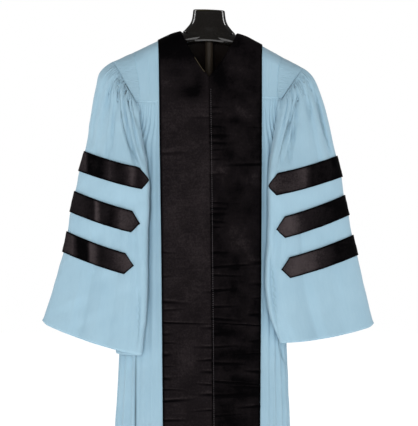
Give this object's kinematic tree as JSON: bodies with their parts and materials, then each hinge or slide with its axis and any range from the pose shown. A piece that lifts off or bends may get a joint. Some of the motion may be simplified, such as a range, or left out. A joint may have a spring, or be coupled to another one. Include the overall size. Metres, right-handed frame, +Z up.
{
  "type": "graduation gown on a display stand",
  "caption": "Long zip-front graduation gown with velvet facings, pointed velvet sleeve bars, fluted panels and bell sleeves, resting on a neck-and-shoulder form with a post and a round base.",
  "frame": {"origin": "on the floor at the middle of the base's underside", "axes": "+Z up along the post, -Y out of the gown's front, -X towards the sleeve at the left of the picture"},
  "size_m": [0.8815, 0.36, 1.5516],
  "materials": {
    "light_blue_cloth": "matt woven gown cloth",
    "black_velvet": "short velvet pile",
    "dark_lining": "plain dark lining",
    "zip_tape": "woven zip tape",
    "gloss_black_plastic": "polished moulding",
    "black_coated_steel": "satin black coating"
  },
  "bodies": {
    "root": {"front_left": "light_blue_cloth", "front_right": "light_blue_cloth", "yoke_front_left": "light_blue_cloth", "yoke_front_right": "light_blue_cloth", "back_yoke": "light_blue_cloth", "back": "light_blue_cloth", "cap_left": "light_blue_cloth", "cap_right": "light_blue_cloth", "sleeve_left": "light_blue_cloth", "sleeve_right": "light_blue_cloth", "facing_left": "black_velvet", "facing_right": "black_velvet", "facing_neck": "black_velvet", "bar_left_1": "black_velvet", "bar_left_2": "black_velvet", "bar_left_3": "black_velvet", "bar_right_1": "black_velvet", "bar_right_2": "black_velvet", "bar_right_3": "black_velvet", "neck_lining": "dark_lining", "zip": "zip_tape", "stand_form": "gloss_black_plastic", "stand_post": "black_coated_steel", "stand_base": "black_coated_steel"}
  },
  "joints": []
}
